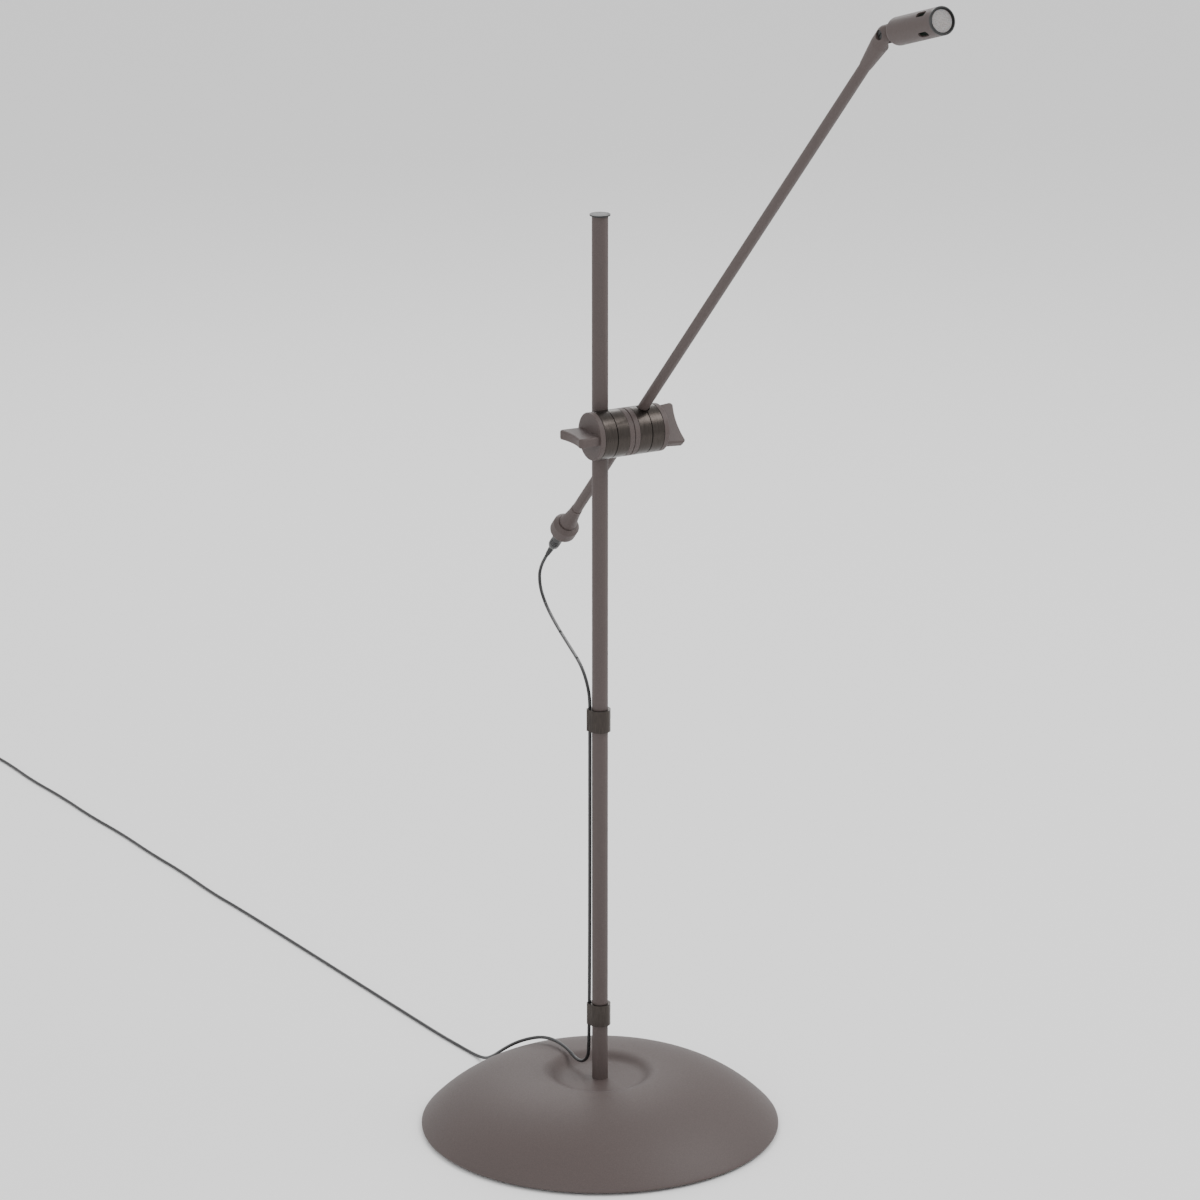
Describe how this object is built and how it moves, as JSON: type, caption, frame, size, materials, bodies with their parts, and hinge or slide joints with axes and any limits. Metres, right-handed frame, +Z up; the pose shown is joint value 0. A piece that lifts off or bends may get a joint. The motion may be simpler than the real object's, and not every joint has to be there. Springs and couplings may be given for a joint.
{
  "type": "swing arm desk lamp",
  "caption": "Desk lamp with a weighted dome base, upright stem, split-barrel clamp with wing knobs, sliding arm and small swivelling LED spot head; the lead is clipped to the stem.",
  "frame": {"origin": "on the table under the stem axis, at the centre of the foot pad", "axes": "+Z up; +X along the clamp barrel towards the arm; the arm leans towards -Y"},
  "size_m": [0.272, 1.6378, 0.9237],
  "materials": {
    "taupe_paint": "fine textured powder coat, satin",
    "dark_metal": "satin anodised, dark bronze",
    "cap_black": "moulded, matt",
    "cast_iron": "rough cast",
    "steel": "zinc plated",
    "plate_black": "black painted sheet",
    "felt": "pressed felt",
    "nylon": "natural nylon",
    "friction_fibre": "fibre",
    "cord_black": "smooth flexible jacket",
    "plug_black": "moulded gloss",
    "wire_red": "insulated wire",
    "board_green": "circuit board",
    "aluminium": "turned",
    "led_yellow": "phosphor",
    "reflector": "mirror",
    "lens_frosted": "frosted diffuser",
    "brass": "nickel-free brass"
  },
  "bodies": {
    "stand": {"base_shell": "taupe_paint", "ballast_disc": "cast_iron", "base_plate": "plate_black", "base_plate_screws": "steel", "foot_pad": "felt", "stem_tube": "taupe_paint", "stem_foot": "steel", "stem_bolt": "steel", "stem_bolt_washer": "steel", "stem_cap": "cap_black", "lower_cord_clip": "dark_metal", "lower_clip_screw": "steel", "upper_cord_clip": "dark_metal", "upper_clip_screw": "steel", "cord_hanging": "cord_black", "cord_stem_run": "cord_black", "cord_floor_run": "cord_black", "cord_tail": "cord_black", "cord_coil": "cord_black", "coil_tie": "cap_black", "adapter_body": "plug_black", "adapter_strain_relief": "cord_black", "adapter_pins": "brass"},
    "stem_sleeve": {"stem_liner": "nylon"},
    "stem_clamp": {"stem_jaw_outer": "dark_metal", "stem_jaw_inner": "dark_metal", "stem_jaw_pin": "steel", "stem_friction_disc": "taupe_paint", "friction_washer": "friction_fibre", "clamp_stud": "steel"},
    "stem_wing": {"stem_knob": "taupe_paint"},
    "arm_clamp": {"arm_friction_disc": "taupe_paint", "arm_jaw_inner": "dark_metal", "arm_jaw_outer": "dark_metal", "arm_jaw_pin": "steel", "arm_liner": "nylon"},
    "arm_wing": {"arm_knob": "taupe_paint"},
    "lead_end": {"lead_plug": "plug_black", "plug_barrel": "brass"},
    "arm": {"arm_tube": "taupe_paint", "arm_wire": "wire_red", "arm_knuckle": "taupe_paint", "knuckle_screw": "cap_black", "knuckle_washer": "steel", "knuckle_nut": "steel", "arm_ferrule": "taupe_paint", "collar_ring": "cap_black", "plug_socket": "plug_black", "dimmer_board": "board_green"},
    "collar": {"dimmer_collar": "taupe_paint"},
    "head": {"head_back": "taupe_paint", "head_body": "taupe_paint", "head_bezel": "cap_black", "head_lens": "lens_frosted", "heat_sink": "aluminium", "led_board": "board_green", "led_chip": "led_yellow", "reflector_cup": "reflector"}
  },
  "joints": [
    {"name": "stem_slide", "type": "slide", "parent": "stand", "child": "stem_sleeve", "axis": [0, 0, 1], "range_m": [-0.1, 0.07], "deforming": ["cord_hanging"]},
    {"name": "stem_swivel", "type": "hinge", "parent": "stem_sleeve", "child": "stem_clamp", "pos_m": [0, 0, 0.5475], "axis": [0, 0, 1], "range_deg": [-120, 120]},
    {"name": "stem_wing_turn", "type": "hinge", "parent": "stem_clamp", "child": "stem_wing", "pos_m": [0, -0.01, 0.5475], "axis": [1, 0, 0], "range_deg": [-30, 330]},
    {"name": "arm_tilt", "type": "hinge", "parent": "stem_clamp", "child": "arm_clamp", "pos_m": [0.0288, -0.01, 0.5475], "axis": [1, 0, 0], "range_deg": [-60, 70]},
    {"name": "arm_wing_turn", "type": "hinge", "parent": "arm_clamp", "child": "arm_wing", "pos_m": [0.0288, -0.01, 0.5475], "axis": [1, 0, 0], "range_deg": [-30, 330]},
    {"name": "arm_slide", "type": "slide", "parent": "arm_clamp", "child": "lead_end", "axis": [0, -0.7009, 0.7133], "range_m": [-0.04, 0.1]},
    {"name": "arm_roll", "type": "hinge", "parent": "lead_end", "child": "arm", "pos_m": [0.0288, -0.00287, 0.55451], "axis": [0, -0.7009, 0.7133], "range_deg": [-90, 90]},
    {"name": "collar_turn", "type": "hinge", "parent": "arm", "child": "collar", "pos_m": [0.0288, -0.00287, 0.55451], "axis": [0, -0.7009, 0.7133], "range_deg": [0, 270]},
    {"name": "head_tilt", "type": "hinge", "parent": "arm", "child": "head", "pos_m": [0.0288, -0.33685, 0.89437], "axis": [1, 0, 0], "range_deg": [-35, 75]}
  ]
}
